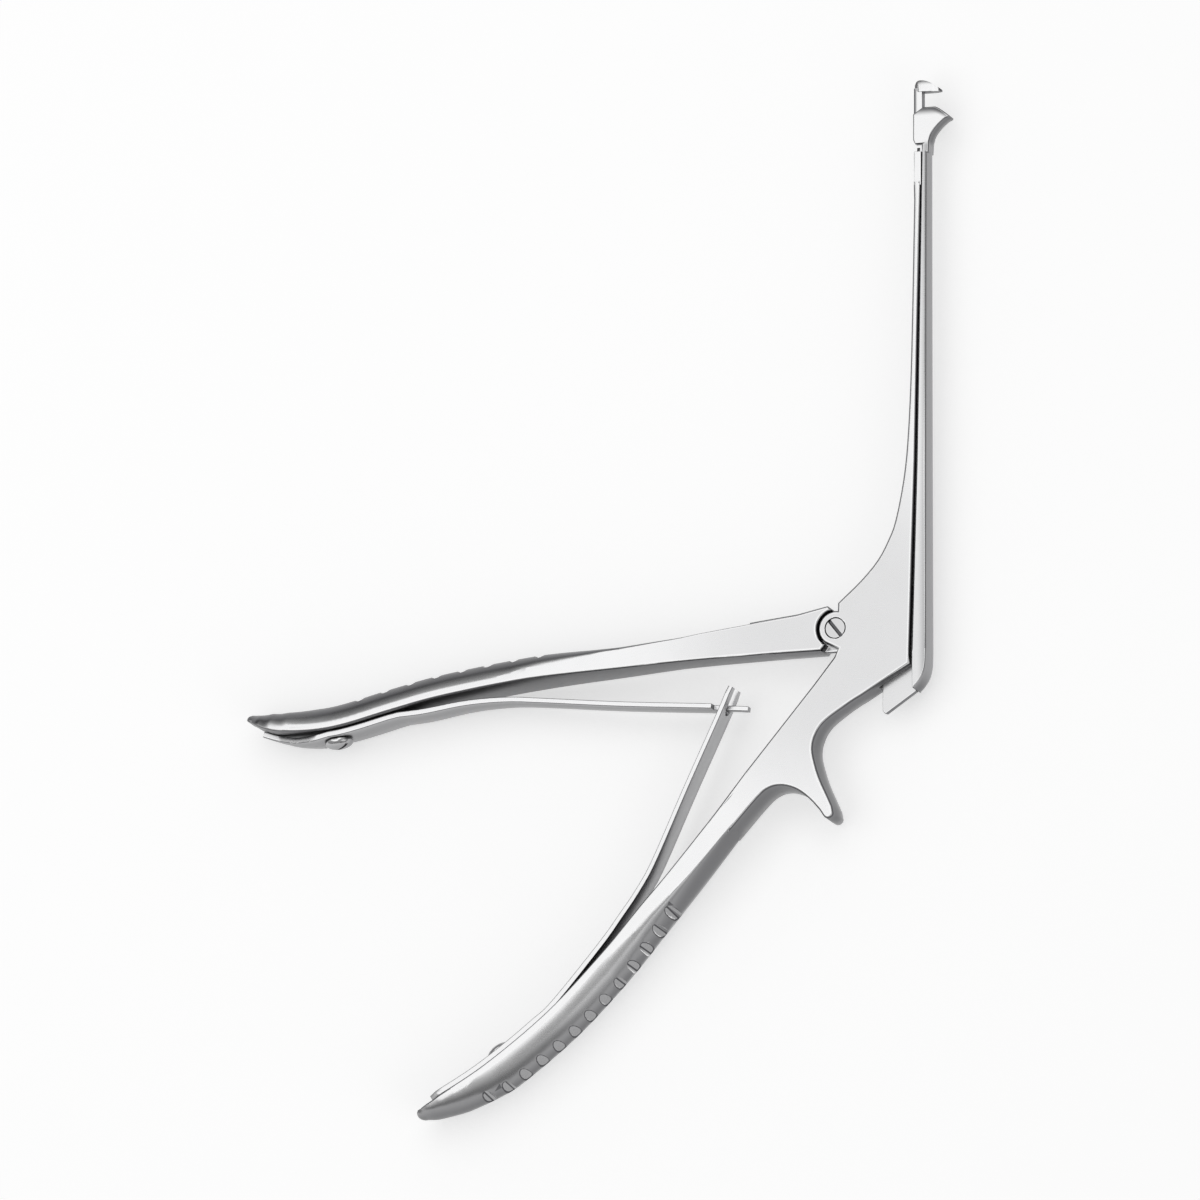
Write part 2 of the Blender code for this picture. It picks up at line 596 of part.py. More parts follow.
def make_rear_handle():
    """Notched grip with a concave shoulder round the ear, thin tang and driving lobe."""
    inner, outer, share = rear_edges()
    keep = share > 0.08
    halves = np.interp(share, [0, 0.25, 0.5, 0.93, 0.96, 0.985, 1.0],
                       [body_thickness / 2, 4.1 * mm] + [grip_thickness * part for part in grip_end_halves])
    flats = np.interp(share, [0.0, 0.22, 0.36, 0.56, 1.0], [0.95, 0.92, 0.75, 0.05, 0.0])
    handle = skin("rear_handle", *with_nose(inner[keep], outer[keep], halves[keep], flats[keep]), edge_chamfer,
                  finish=steel)
    combine(handle, grooves("grooves", outer, -1.0, rear_groove_first, rear_groove_pitch, rear_groove_count),
            "DIFFERENCE")
    root = share < 0.14
    shoulder_radius = ear_radius + shoulder_gap
    shoulder_end = math.radians(100)
    shoulder = np.vstack([
        inner[root][::-1],
        in_mm([(-2.7, -4.1)]),
        arc((0, 0), shoulder_radius, 236, 114, 14),
        [(shoulder_radius * math.cos(shoulder_end), shoulder_radius * math.sin(shoulder_end))],
        in_mm([rear_outer_corner]),
        outer[root][2:]])
    thickness = halves[root][-1] - body_thickness / 2
    reach = -inner[root][-1][0]
    combine(handle, plate("shoulder", shoulder,
                          lambda x, y: body_thickness / 2 + thickness * max(-x / reach, 0.0) - 0.01 * mm,
                          edge_chamfer), "UNION")

    blade = tang_thickness / 2
    arm = lobe_radius - 0.45 * mm
    angle = -math.degrees(half_swing)
    way = np.array([math.cos(half_swing), -math.sin(half_swing)])
    left_of = np.array([-way[1], way[0]])
    centre = way * drive_radius
    lobe_start = 180 - math.degrees(math.asin(arm / lobe_radius))
    tang = np.vstack([
        in_mm([(-9.0, -4.6), (-3.4, -4.9), (0.2, -4.9), (2.4, -3.9)]),
        [way * 4.5 * mm - left_of * arm * 1.25, centre - way * lobe_radius - left_of * arm],
        arc(centre, lobe_radius, lobe_start * -1 + angle, lobe_start + angle, 16)[1:-1],
        [centre - way * lobe_radius + left_of * arm, way * 4.5 * mm + left_of * arm * 1.25],
        arc((0, 0), tang_radius, 30, 120, 8),
        in_mm([(-9.0, 3.0)])])
    combine(handle, plate("tang", tang, lambda x, y: blade, 0.1 * mm), "UNION")
    hole = screw_shank_radius + screw_clearance
    combine(handle, turned("bore", (0, 0), [(0, 5 * mm), (hole, 5 * mm), (hole, -5 * mm), (0, -5 * mm)]), "DIFFERENCE")
    spot, away = screw_place(inner, outer, share, rear_screw_place, 1.0)
    combine(handle, screw_hole(spot, away), "DIFFERENCE")
    return handle


def make_pivot_screw():
    """Flush slotted screw: its shank bears in both cheeks and carries the tang."""
    top = body_thickness / 2 - 0.05 * mm
    screw = turned("pivot_screw", (0, 0),
                   [(0, top), (screw_head_radius - 0.15 * mm, top), (screw_head_radius, top - 0.15 * mm),
                    (screw_head_radius, top - screw_head_height), (screw_shank_radius, top - screw_head_height),
                    (screw_shank_radius, -top + 0.2 * mm), (screw_shank_radius - 0.2 * mm, -top), (0, -top)],
                   32, screw_steel)
    cut = block("slot", (-3 * mm, -screw_slot_width / 2, top - screw_slot_depth), (3 * mm, screw_slot_width / 2, top + mm))
    turn = math.radians(-52)
    for vert in cut.data.vertices:
        x, y, z = vert.co
        vert.co = (x * math.cos(turn) - y * math.sin(turn), x * math.sin(turn) + y * math.cos(turn), z)
    combine(screw, cut, "DIFFERENCE")
    return screw


def lay(made, spot, way):
    """Turn a piece modelled about the vertical axis so that its top points along the way, in the table's plane."""
    for vert in made.data.vertices:
        x, y, z = vert.co
        vert.co = (spot[0] - x * way[1] + z * way[0], spot[1] + x * way[0] + z * way[1], y)
    return made


def screw_place(inner, outer, share, place, side):
    """Point on a handle's inner edge at the place, and the direction away from the handle there."""
    away = side * normals_of(inner)
    spot = np.array([np.interp(place, share, inner[:, axis]) for axis in range(2)])
    way = np.array([np.interp(place, share, away[:, axis]) for axis in range(2)])
    return spot, way / np.linalg.norm(way)


def screw_hole(spot, away):
    hole = leaf_screw_shank_radius + leaf_screw_clearance
    deep = leaf_screw_depth + leaf_screw_clearance
    return lay(turned("hole", (0, 0), [(0, 3 * mm), (hole, 3 * mm), (hole, -deep), (0, -deep)], 20), spot, away)


def make_leaf(name, free, seat, widths, place, side, tail=()):
    """Flat spring: one strip that lies on its handle and then bends away from it to the hooked tip.

    The widths are (share of the length, width) pairs; two pairs close together make a shoulder.
    """
    inner, outer, share = seat[0]
    lying = inner + side * normals_of(inner) * (leaf_seat_gap + leaf_thickness / 2)
    where = np.linspace(seat[1], seat[2], 7)
    lying = np.column_stack([np.interp(where, share, lying[:, axis]) for axis in range(2)])
    points = [lying, in_mm(free)]
    if len(tail):
        points.insert(0, in_mm(tail))
    line = smooth(np.vstack(points), 6)
    length = lengths_along(line)
    stops = np.union1d(np.linspace(0, 1, 49), [w[0] for w in widths])
    line = np.column_stack([np.interp(stops * length[-1], length, line[:, axis]) for axis in range(2)])
    wide = np.interp(stops, [w[0] for w in widths], [w[1] for w in widths]) / 2
    thick = np.interp(stops, [0.0, 0.3, 0.6, 1.0], [leaf_thickness, leaf_thickness, leaf_tip_thickness,
                                                    leaf_tip_thickness]) / 2
    across = normals_of(line)
    rim = leaf_rim
    bm = bmesh.new()
    rings = []
    for (x, y), (u, v), h, half in zip(line, across, wide, thick):
        section = [(-half, h - rim), (-half + rim, h), (half - rim, h), (half, h - rim),
                   (half, rim - h), (half - rim, -h), (rim - half, -h), (-half, rim - h)]
        rings.append([bm.verts.new((x + u * t, y + v * t, z)) for t, z in section])
    for low, high in zip(rings, rings[1:]):
        for i in range(8):
            j = (i + 1) % 8
            bm.faces.new((low[i], high[i], high[j], low[j]))
    bm.faces.new(rings[0])
    bm.faces.new(list(reversed(rings[-1])))
    leaf = to_object(name, bm, steel)
    spot, away = screw_place(inner, outer, share, place, side)
    bore = leaf_screw_shank_radius + leaf_screw_clearance
    reach = 3 * leaf_thickness
    combine(leaf, lay(turned("bore", (0, 0), [(0, reach), (bore, reach), (bore, -reach), (0, -reach)], 20),
                      spot, away), "DIFFERENCE")
    return leaf


def make_front_leaf():
    root = front_leaf_root_width
    widths = [(0.0, 0.75 * root), (0.015, 0.95 * root), (0.03, root), (0.28, root), (0.55, front_leaf_tip_width),
              (0.985, front_leaf_tip_width), (1.0, 0.88 * front_leaf_tip_width)]
    leaf = make_leaf("front_leaf_spring", front_leaf_free, (front_edges(), 0.975, 0.72), widths,
                     front_screw_place, -1.0)
    tip, before = in_mm(front_leaf_free[-1]), in_mm(front_leaf_free[-2])
    way = (tip - before) / np.linalg.norm(tip - before)
    centre = tip - way * hook_slot_depth
    slot = hook_width / 2 + hook_clearance
    reach = 2 * leaf_thickness
    combine(leaf, lay(block("hook_slot", (-reach, -slot, 0), (reach, slot, 2 * hook_slot_depth)), centre, way),
            "DIFFERENCE")
    across = np.array([-way[1], way[0]])
    hole = turned("hook_hole", (0, 0),
                  [(0, reach), (hook_hole_radius, reach), (hook_hole_radius, -reach), (0, -reach)], 20)
    combine(leaf, lay(hole, centre, across), "DIFFERENCE")
    return leaf


def make_rear_leaf():
    root = rear_leaf_root_width
    widths = [(0.0, 0.14 * root), (0.035, 0.24 * root), (0.076, 0.56 * root), (0.117, 0.93 * root), (0.15, root),
              (0.26, root), (0.565, rear_leaf_tip_width), (0.930, rear_leaf_tip_width), (0.931, hook_width),
              (1.0, hook_width)]
    return make_leaf("rear_leaf_spring", rear_leaf_free, (rear_edges(), 0.865, 0.735), widths, rear_screw_place,
                     1.0, rear_leaf_tail)


def make_leaf_screw(name, edges, place, side, slot_angle):
    """Round-headed slotted screw through the leaf into its handle."""
    head = leaf_screw_radius
    rise = np.radians(np.linspace(0, 90, 7))
    dome = [(head * math.sin(t), 0.35 * mm + (leaf_screw_dome - 0.35 * mm) * math.cos(t)) for t in rise]
    under = leaf_thickness + leaf_seat_gap + leaf_screw_seat_gap
    shank = leaf_screw_shank_radius
    deep = -under - leaf_screw_depth
    profile = dome + [(head, 0), (shank, 0), (shank, deep + 0.2 * mm), (shank - 0.2 * mm, deep), (0, deep)]
    screw = turned(name, (0, 0), profile, 32, screw_steel)
    cut = block("slot", (-5 * mm, -leaf_screw_slot_width / 2, leaf_screw_dome - leaf_screw_slot_depth),
                (5 * mm, leaf_screw_slot_width / 2, leaf_screw_dome + mm))
    turn = math.radians(slot_angle)
    for vert in cut.data.vertices:
        x, y, z = vert.co
        vert.co = (x * math.cos(turn) - y * math.sin(turn), x * math.sin(turn) + y * math.cos(turn), z)
    combine(screw, cut, "DIFFERENCE")
    spot, away = screw_place(*edges, place, side)
    return lay(screw, spot + away * under, away)


instrument = bpy.data.objects.new("instrument", None)
bpy.context.scene.collection.objects.link(instrument)
make_frame()
make_slide()
make_rear_handle()
make_pivot_screw()
make_front_leaf()
make_rear_leaf()
make_leaf_screw("front_spring_screw", front_edges(), front_screw_place, -1.0, 60)
make_leaf_screw("rear_spring_screw", rear_edges(), rear_screw_place, 1.0, 35)

pieces = [piece for piece in bpy.data.objects if piece.type == "MESH"]
corners = np.array([vert.co[:] for piece in pieces for vert in piece.data.vertices])
low, high = corners.min(axis=0), corners.max(axis=0)
instrument.location = (-(low[0] + high[0]) / 2, -(low[1] + high[1]) / 2, -low[2])
for piece in pieces:
    piece.parent = instrument
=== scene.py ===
import json
import math

import bmesh
import bpy
import numpy as np
from mathutils import Matrix, Vector
from mathutils.geometry import delaunay_2d_cdt


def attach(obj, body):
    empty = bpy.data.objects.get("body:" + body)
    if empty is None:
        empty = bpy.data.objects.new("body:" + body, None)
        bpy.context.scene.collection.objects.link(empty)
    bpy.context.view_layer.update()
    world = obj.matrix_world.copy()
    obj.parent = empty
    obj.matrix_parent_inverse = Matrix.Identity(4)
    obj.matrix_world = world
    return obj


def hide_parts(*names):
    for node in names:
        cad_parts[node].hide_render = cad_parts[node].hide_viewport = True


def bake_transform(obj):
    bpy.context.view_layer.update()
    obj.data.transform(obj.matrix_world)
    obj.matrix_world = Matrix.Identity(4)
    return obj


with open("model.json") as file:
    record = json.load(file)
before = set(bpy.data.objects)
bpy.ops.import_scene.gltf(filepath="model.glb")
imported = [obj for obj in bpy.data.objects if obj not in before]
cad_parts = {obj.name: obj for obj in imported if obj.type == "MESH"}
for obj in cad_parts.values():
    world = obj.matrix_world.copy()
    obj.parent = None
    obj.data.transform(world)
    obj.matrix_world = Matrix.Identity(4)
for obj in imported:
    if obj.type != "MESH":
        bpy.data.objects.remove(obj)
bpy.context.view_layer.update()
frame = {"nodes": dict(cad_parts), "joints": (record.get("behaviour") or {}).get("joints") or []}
print("punch: packed nodes", sorted(frame["nodes"]))

mm = 0.001
everywhere = (-1.0, 1.0)  # heights along the shaft that take in the whole instrument
pivot = next(joint["pos_m"] for joint in frame["joints"] if joint["name"] == "handle_squeeze")


def fromPivot(x, y, z=0.0):  # a place given in millimetres from the pivot screw's middle, in metres
    return (pivot[0] + x * mm, pivot[1] + y * mm, pivot[2] + z * mm)


def reachOf(node, x, y, z=0, above=-1.0):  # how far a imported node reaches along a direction, above a height
    return max(vert.co.x * x + vert.co.y * y + vert.co.z * z
               for vert in frame["nodes"][node].data.vertices if vert.co.y > above)


class Wire:  # a socket that takes part in sums; every operator adds the Math node for it
    def __init__(self, tree, socket):
        self.tree = tree
        self.socket = socket

    def __add__(self, other):
        return self.tree.sum("ADD", self, other)

    def __radd__(self, other):
        return self.tree.sum("ADD", other, self)

    def __sub__(self, other):
        return self.tree.sum("SUBTRACT", self, other)

    def __rsub__(self, other):
        return self.tree.sum("SUBTRACT", other, self)

    def __mul__(self, other):
        return self.tree.sum("MULTIPLY", self, other)

    def __rmul__(self, other):
        return self.tree.sum("MULTIPLY", other, self)

    def __abs__(self):
        return self.tree.sum("ABSOLUTE", self)


class Finish:  # one material's tree, with its Principled shader ready
    def __init__(self, name, metallic=1.0):
        self.material = bpy.data.materials.new(name)
        self.material.use_nodes = True
        self.nodes = self.material.node_tree.nodes
        self.links = self.material.node_tree.links
        self.shader = self.nodes["Principled BSDF"]
        self.shader.inputs["Metallic"].default_value = metallic

    def node(self, kind, settings=(), inputs=(), output=0):  # settings, then the sockets' values or links
        made = self.nodes.new(kind)
        for key, value in dict(settings).items():
            setattr(made, key, value)
        for key, value in dict(inputs).items():
            self.feed(made.inputs[key], value)
        return Wire(self, made.outputs[output])

    def feed(self, socket, value):
        if isinstance(value, Wire):
            self.links.new(value.socket, socket)
        else:
            socket.default_value = value

    def sum(self, operation, first, second=0.0):
        return self.node("ShaderNodeMath", {"operation": operation}, {0: first, 1: second})

    def ramp(self, value, low, high, start=0.0, stop=1.0):  # smoothstep of the value from low to high
        return self.node("ShaderNodeMapRange", {"interpolation_type": "SMOOTHSTEP"},
                         {"Value": value, "From Min": low, "From Max": high, "To Min": start, "To Max": stop})

    def mix(self, share, first, second):  # two colours, by a share
        return self.node("ShaderNodeMix", {"data_type": "RGBA"}, {0: share, 6: first, 7: second}, 2)

    def scaled(self, colour, factor):
        return self.node("ShaderNodeVectorMath", {"operation": "SCALE"}, {0: colour, "Scale": factor})

    def noise(self, place, scale, detail=2.0, rough=0.5):  # about -0.5 to 0.5
        return self.node("ShaderNodeTexNoise", {}, {"Vector": place, "Scale": scale, "Detail": detail,
                                                    "Roughness": rough}) - 0.5

    def place(self, turn=0.0, stretch=(1, 1, 1)):  # object coordinates, turned about Z and stretched
        spot = self.node("ShaderNodeTexCoord", output="Object")
        return self.node("ShaderNodeMapping", {}, {"Vector": spot, "Rotation": (0, 0, math.radians(turn)),
                                                   "Scale": stretch})

    def spotPart(self, axis):  # one part of the object coordinates
        spot = self.node("ShaderNodeTexCoord", output="Object")
        return self.node("ShaderNodeSeparateXYZ", {}, {0: spot}, axis)

    def normalPart(self, axis):  # one part of the surface's own normal
        normal = self.node("ShaderNodeNewGeometry", output="Normal")
        return self.node("ShaderNodeSeparateXYZ", {}, {0: normal}, axis)


def grey(value):  # a steel grey, a touch bluer than neutral
    return (value, value, value + 0.006, 1.0)


# Tones of steel by the surface's tilt, painted as shade and highlight: it lies flat ("face"), leans a little
# ("edge", a painted highlight along the margins), slopes, stands upright ("wall", painted shade) or looks
# down ("under"); From = the tilts, as 1 - |nz|, over which each begins. Farther from the screw the flat tone
# is painted lighter as painted light (darker on the screws), between the two distances given. Steel that
# leans to the upper left, over the leans given along the way given, is painted dark as painted shade. Each
# band of painted shade changes the tone along a way, between two heights up the shaft where it fades out
satinAndShadeLook = {
    "face": 0.80, "farPainted": 0.96, "edge": 0.98, "slope": 0.36, "wall": 0.17, "under": 0.45, "upLeftShade": 0.13,
    "farPaintedFrom": (16 * mm, 52 * mm), "edgeFrom": (0.001, 0.012), "slopeFrom": (0.03, 0.34),
    "wallFrom": (0.25, 1.0), "underFrom": (0.06, 0.30), "upLeftShadeFrom": (0.22, 0.60),
    "upLeftShadeWay": (-0.8, 0.6), "shadeBands": (), "shadeBandFade": 1.5 * mm,
    "glint": 0.0, "glintFrom": (0.42, 0.70),
    "faceRough": 0.28, "wallRough": 0.38, "streakRough": 0.08, "mottleRough": 0.06,
    "mottle": 0.06, "mottleScale": 190, "streak": 0.016, "streakScale": (260, 9000, 2600),
    "grainScale": 5200, "grainHeight": 0.0015 * mm,
}
# Chamfers and softened edges: a painted highlight, nearly white where they lean a little, and painted shade
# where steeper
rimHighlightLook = dict(satinAndShadeLook, slope=0.98, wall=0.13, wallFrom=(0.12, 0.34), faceRough=0.18, wallRough=0.30,
               grainHeight=0.001 * mm)
# Gouges: a darker grey by tilt, painted shade in the hollows, with a painted glint on one side
gougeShadeLook = dict(satinAndShadeLook, face=0.50, farPainted=0.50, edge=0.50, slope=0.42, wall=0.33, upLeftShade=0.30, faceRough=0.22,
                 wallRough=0.28, glint=1.0)
# The lip round a gouge: painted shade, a nearly black outline
lipShadeLook = dict(satinAndShadeLook, face=0.10, farPainted=0.10, edge=0.10, slope=0.08, wall=0.06)
# Screws and leaves: the same painted shade and highlight by tilt, in their own tones
screwLook = dict(satinAndShadeLook, face=0.72, farPainted=0.62, edge=0.75, slope=0.50, wall=0.30, upLeftShade=0.25, faceRough=0.2,
                 wallRough=0.26)
leafLook = dict(satinAndShadeLook, face=0.95, farPainted=0.95, slope=0.8, wall=0.45, upLeftShade=0.20)


def steel(name, turn, look):
    # tone = flat, sloping or upright by the surface's tilt, which paints shade and highlight, painted lighter
    # far from the screw, painted dark where the steel leans to the upper left and in bands, times mottling
    # and fine streaks along the piece
    finish = Finish(name)
    upward = finish.normalPart(2)
    tilt = 1 - abs(upward)
    fromScrew = finish.node("ShaderNodeVectorMath", {"operation": "DISTANCE"},
                            {0: finish.node("ShaderNodeTexCoord", output="Object"), 1: pivot}, 1)
    tone = finish.mix(finish.ramp(fromScrew, *look["farPaintedFrom"]), grey(look["face"]), grey(look["farPainted"]))
    for part in ("edge", "slope"):
        tone = finish.mix(finish.ramp(tilt, *look[part + "From"]), tone, grey(look[part]))
    upright = finish.ramp(tilt, *look["wallFrom"])
    tone = finish.mix(upright, tone, grey(look["wall"]))
    tone = finish.mix(finish.ramp(0 - upward, *look["underFrom"]), tone, grey(look["under"]))
    # painted shade: steel that leans to the upper left is painted dark
    lean = finish.normalPart(0) * look["upLeftShadeWay"][0] + finish.normalPart(1) * look["upLeftShadeWay"][1]
    tone = finish.mix(finish.ramp(lean, *look["upLeftShadeFrom"]), tone, grey(look["upLeftShade"]))
    # painted shade: bands painted darker along a way
    for shadeBand in look["shadeBands"]:
        x, y, z = (finish.spotPart(axis) * share for axis, share in enumerate(shadeBand["way"]))
        low, high = shadeBand["heights"]
        height, fade = finish.spotPart(1), look["shadeBandFade"]
        share = (finish.ramp(x + y + z, *shadeBand["band"]) * finish.ramp(height, low, low + fade)
                 * finish.ramp(height, high - fade, high, 1.0, 0.0))
        tone = finish.mix(share, tone, grey(shadeBand["tone"]))
    if look["glint"]:  # painted highlight: a hollow is painted brightest on the side that faces up the handle
        along = (finish.normalPart(0) * math.cos(math.radians(turn))
                 + finish.normalPart(1) * math.sin(math.radians(turn)))
        tone = finish.mix(finish.ramp(along, *look["glintFrom"]) * look["glint"], tone, grey(1.0))
    mottle = finish.noise(finish.place(), look["mottleScale"], 3.0)
    streaks = finish.noise(finish.place(-turn, look["streakScale"]), 1.0)
    finish.feed(finish.shader.inputs["Base Color"],
                finish.scaled(tone, 1 + mottle * look["mottle"] + streaks * look["streak"]))
    rough = (look["faceRough"] + upright * (look["wallRough"] - look["faceRough"])
             + streaks * look["streakRough"] + mottle * look["mottleRough"])
    finish.feed(finish.shader.inputs["Roughness"], rough)
    grain = finish.noise(finish.place(), look["grainScale"], 2.0, 0.6)
    bump = finish.node("ShaderNodeBump", {},
                       {"Strength": 1.0, "Distance": look["grainHeight"], "Height": grain})
    finish.feed(finish.shader.inputs["Normal"], bump)
    return finish.material


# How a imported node's triangles are merged and sorted: angles in degrees, lengths in metres
mending = {
    "merge": 0.002 * mm, "short": 0.05 * mm,  # nearer corners become one, and shorter edges go
    "plane": 0.5, "fold": 8,  # faces of one plane, and of a surface that only folds a little
    "level": 0.985, "levelArea": 3 * mm * mm,  # |nz| and area from which a face gets its margin
    "sharp": 50, "softSegments": 2, "softRoom": 3,  # softened edges; the faces beside are this many as wide
    "chamferBend": 16, "chamferWidth": 0.9 * mm, "chamferLean": (0.3, 0.96), "upright": 0.06,
    "hollowBend": (-32, -14), "gripFrom": 40 * mm,  # a gouge's inner edges, and how far out a grip begins
    "normalReach": {"broad": 32, "chamfer": 75}, "normalLean": 0.5, "leanFrom": 0.5,
}
gouge = {
    "radius": 1.6 * mm, "facets": 16, "offRound": 0.06 * mm, "span": 9 * mm,
    "lip": 0.40 * mm, "lipShare": 0.85, "rows": (0.75, 1.1),  # the lip, painted dark as shade, then rows of points, in mm
}
# How a patch is filled: the step along its border and the room that points keep, at least in mm, or in gaps
filling = {"leastStep": 0.5, "step": 1.5, "clear": 0.93, "leastRoom": 0.1, "room": 0.5}


def bendOf(edge):
    return math.degrees(abs(edge.calc_face_angle(0.0)))


def islands(faces, joined):  # groups of faces that hang together over edges for which joined(edge) holds
    left = dict.fromkeys(faces)  # a dict keeps the order, so that each run makes the same mesh
    groups = []
    while left:
        group = [next(iter(left))]
        del left[group[0]]
        for face in group:
            for edge in face.edges:
                for other in edge.link_faces:
                    if other in left and joined(edge):
                        del left[other]
                        group.append(other)
        groups.append(group)
    return groups


def refill(bm, faces, flatten, lift, outward, gaps, finish):
    # Fills a patch again from its border and from points that stand gap behind it: the border is laid flat,
    # points beside each border edge at every gap are kept where they lie inside and no nearer than that to
    # any edge, and a Delaunay net over both is lifted back
    patch = set(faces)
    border = [edge for edge in {edge for face in faces for edge in face.edges}
              if sum(face in patch for face in edge.link_faces) == 1]
    verts = sorted({vert for edge in border for vert in edge.verts}, key=lambda vert: vert.index)
    order = {vert: i for i, vert in enumerate(verts)}
    flat = flatten(np.array([vert.co for vert in verts]))
    ends = np.array(sorted((order[edge.verts[0]], order[edge.verts[1]]) for edge in border))
    start, stop = flat[ends[:, 0]], flat[ends[:, 1]]
    span = stop - start
    length = np.linalg.norm(span, axis=1, keepdims=True) + 1e-9
    side = np.stack([-span[:, 1], span[:, 0]], axis=1) / length

    def distance(spots):  # to the nearest border edge
        ahead = ((spots[:, None] - start) * span).sum(-1) / (length[:, 0] ** 2)
        foot = start + span * np.clip(ahead, 0, 1)[..., None]
        return np.linalg.norm(spots[:, None] - foot, axis=-1).min(axis=1)

    def inside(spots):  # an odd number of border edges lies to the right
        x, y = spots[:, 0, None], spots[:, 1, None]
        crosses = (start[:, 1] > y) != (stop[:, 1] > y)
        slope = span[:, 0] / np.where(np.abs(span[:, 1]) < 1e-12, 1e-12, span[:, 1])
        return (crosses & (x < start[:, 0] + (y - start[:, 1]) * slope)).sum(axis=1) % 2 == 1

    round12 = [np.array([math.cos(turn), math.sin(turn)])
               for turn in np.linspace(0, 2 * math.pi, 12, endpoint=False)]
    kept = np.zeros((0, 2))
    for gap in gaps:
        step = max(filling["leastStep"], filling["step"] * gap)
        room = max(filling["leastRoom"], filling["room"] * gap)
        parts = np.maximum(np.ceil(length[:, 0] / step).astype(int), 1)
        which = np.repeat(np.arange(len(span)), parts)
        share = (np.arange(len(which)) - np.repeat(np.cumsum(parts) - parts, parts) + 0.5) / parts[which]
        beside = start[which] + span[which] * share[:, None]
        spots = np.vstack([beside + side[which] * gap, beside - side[which] * gap]
                          + [flat + gap * way for way in round12])
        spots = spots[inside(spots)]
        spots = spots[distance(spots) > filling["clear"] * gap]
        for spot in spots:
            if not len(kept) or np.linalg.norm(kept - spot, axis=1).min() > room:
                kept = np.vstack([kept, spot])
    net = delaunay_2d_cdt([Vector(spot) for spot in np.vstack([flat, kept])],
                          [tuple(map(int, edge)) for edge in ends], [], 1, 1e-6)
    middles = np.array([np.mean([tuple(net[0][i]) for i in face], axis=0) for face in net[2]])
    within = inside(middles)
    bmesh.ops.delete(bm, geom=list(faces), context="FACES")
    raised = lift(np.array([tuple(spot) for spot in net[0]]))
    corners = [verts[source[0]] if source and source[0] < len(verts) else bm.verts.new(spot)
               for source, spot in zip(net[3], raised)]
    for face, near, wanted in zip(net[2], distance(middles), within):
        if not wanted:
            continue
        made = bm.faces.new([corners[i] for i in face])
        made.normal_update()
        if made.normal.dot(outward(made.calc_center_median())) < 0:
            made.normal_flip()
        made.material_index = finish(near)


def levelPatches(bm, margin):  # broad level faces get a margin, which leans towards the chamfers round them
    level = [face for face in bm.faces if face.material_index == 0 and abs(face.normal.z) > mending["level"]]
    folds = [edge for edge in {edge for face in level for edge in face.edges}
             if mending["plane"] < bendOf(edge) < mending["fold"] and edge.calc_length() > 3 * margin]
    for edge in sorted(folds, key=lambda edge: edge.index):  # cut near its ends, to end the margins there
        long = edge.calc_length()
        edge, vert = bmesh.utils.edge_split(edge, edge.verts[0], margin / long)
        rest = max(vert.link_edges, key=lambda other: other.calc_length() if len(other.link_faces) == 2
                   and abs(abs(other.calc_face_angle(0.0)) - abs(edge.calc_face_angle(0.0))) < 1e-4 else 0)
        bmesh.utils.edge_split(rest, vert, 1 - margin / rest.calc_length())
    bm.verts.index_update()
    for faces in islands(level, lambda edge: bendOf(edge) < mending["plane"]):
        if sum(face.calc_area() for face in faces) < mending["levelArea"]:
            continue
        spots = np.array([vert.co for face in faces for vert in face.verts])
        across = np.column_stack([spots[:, :2], np.ones(len(spots))])
        plane = np.linalg.lstsq(across, spots[:, 2], rcond=None)[0]
        up = Vector((0, 0, faces[0].normal.z))
        refill(bm, faces, lambda co: co[:, :2] / mm,
               lambda co: np.column_stack([co * mm, (co * mm) @ plane[:2] + plane[2]]),
               lambda co: up, (margin / mm,), lambda near: 0)


def gougePatches(bm):  # each gouge is laid flat by its angle and height about its own axis
    radius, lip = gouge["radius"], gouge["lip"]
    hollow = [face for face in bm.faces if face.material_index == 2]
    for faces in islands(hollow, lambda edge: True):
        if len(faces) < 3 or not all(face.is_valid for face in faces):
            continue
        normals = np.array([face.normal for face in faces])
        axis = np.linalg.svd(normals)[2][2]
        axis = axis * np.sign(axis[2])
        toAxis = radius * math.cos(math.pi / gouge["facets"])
        middle = np.mean([np.array(face.calc_center_median()) + np.array(face.normal) * toAxis
                          for face in faces], axis=0)

        def offRound(vert):  # how far a corner is from the gouge's cylinder
            out = np.array(vert.co) - middle
            return abs(np.linalg.norm(out - axis * (out @ axis)) - radius)

        faces = [face for face in bm.faces
                 if face.is_valid and (face.verts[0].co - Vector(middle)).length < gouge["span"]
                 and all(offRound(vert) < gouge["offRound"] for vert in face.verts)
                 and face.normal.dot(Vector(middle) - face.calc_center_median()) > 0]
        if not faces:
            continue
        faces = max(islands(faces, lambda edge: True), key=len)
        first = normals.sum(axis=0)
        first = first - axis * (first @ axis)
        first = -first / np.linalg.norm(first)
        second = np.cross(axis, first)

        def flatten(co):
            out = co - middle
            return np.column_stack([np.arctan2(out @ second, out @ first) * radius / mm, (out @ axis) / mm])

        def lift(co):
            angle = co[:, :1] * mm / radius
            return middle + radius * (np.cos(angle) * first + np.sin(angle) * second) + co[:, 1:] * mm * axis

        refill(bm, faces, flatten, lift, lambda co: Vector(middle - np.array(co)),
               (lip / mm,) + gouge["rows"], lambda near: 3 if near < gouge["lipShare"] * lip / mm else 2)


